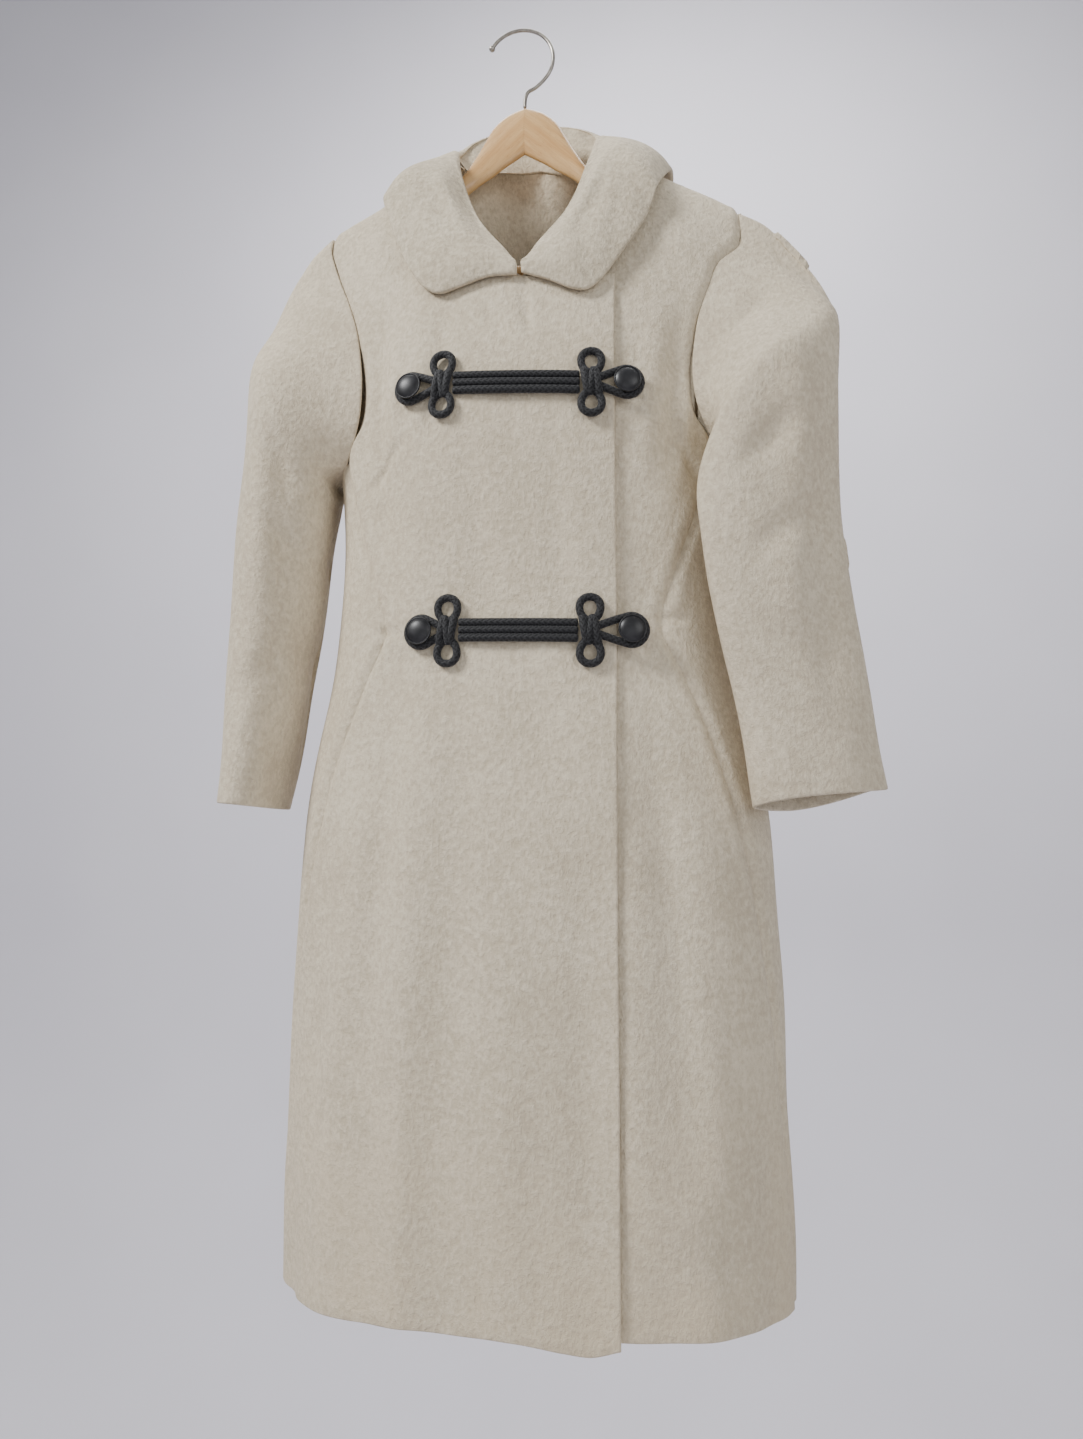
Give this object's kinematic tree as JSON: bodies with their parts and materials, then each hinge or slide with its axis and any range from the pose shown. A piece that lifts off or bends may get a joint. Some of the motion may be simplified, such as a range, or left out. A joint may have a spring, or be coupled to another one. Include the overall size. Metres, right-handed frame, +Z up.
{
  "type": "coat on a hanger",
  "caption": "Knee-length wool coat with a round collar, flared skirt and corded frog fastenings, hanging on a wooden hanger with a wire hook.",
  "frame": {"origin": "inside top of the hanger's hook, where it hangs on a rail", "axes": "+X to the viewer's right when looking at the coat's front, -Y out of the front, +Z up"},
  "size_m": [0.5636, 0.2121, 1.1441],
  "materials": {
    "cream_wool": "fleecy boiled wool",
    "black_cord": "round braided cord",
    "black_button": "satin",
    "varnished_beech": "clear varnish",
    "dark_nickel": "dark brushed nickel plating"
  },
  "bodies": {
    "root": {"front_over": "cream_wool", "front_under": "cream_wool", "side_panel_left": "cream_wool", "side_panel_right": "cream_wool", "back": "cream_wool", "sleeve_left": "cream_wool", "sleeve_right": "cream_wool", "collar": "cream_wool", "frog_upper_bar": "black_cord", "frog_upper_knot_left": "black_cord", "frog_upper_knot_right": "black_cord", "frog_upper_loop_left": "black_cord", "frog_upper_loop_right": "black_cord", "frog_lower_bar": "black_cord", "frog_lower_knot_left": "black_cord", "frog_lower_knot_right": "black_cord", "frog_lower_loop_left": "black_cord", "frog_lower_loop_right": "black_cord", "button_upper_left": "black_button", "button_upper_right": "black_button", "button_lower_left": "black_button", "button_lower_right": "black_button", "hanger_half_left": "varnished_beech", "hanger_half_right": "varnished_beech", "hanger_bar": "varnished_beech", "hanger_hook": "dark_nickel"}
  },
  "joints": []
}
